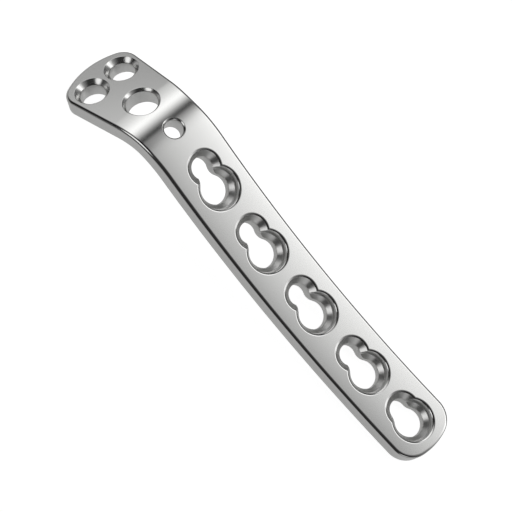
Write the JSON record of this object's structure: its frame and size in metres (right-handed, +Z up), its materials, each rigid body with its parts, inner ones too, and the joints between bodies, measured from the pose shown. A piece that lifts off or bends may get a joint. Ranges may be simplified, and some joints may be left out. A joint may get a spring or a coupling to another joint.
{
  "type": "orthopedic bone plate",
  "caption": "Long metal bone plate with a row of keyhole combination screw holes along a slightly bowed shaft, and a wider head bent down with round screw holes.",
  "frame": {"origin": "middle of the plate's box, on the table it lies on", "axes": "+X along the plate from the head to the shaft's far end, +Y across it, +Z up, out of the plate's top side"},
  "size_m": [0.0846, 0.0144, 0.0119],
  "materials": {
    "implant_steel": "satin polished stainless steel"
  },
  "bodies": {
    "root": {"bone_plate": "implant_steel"}
  },
  "joints": []
}
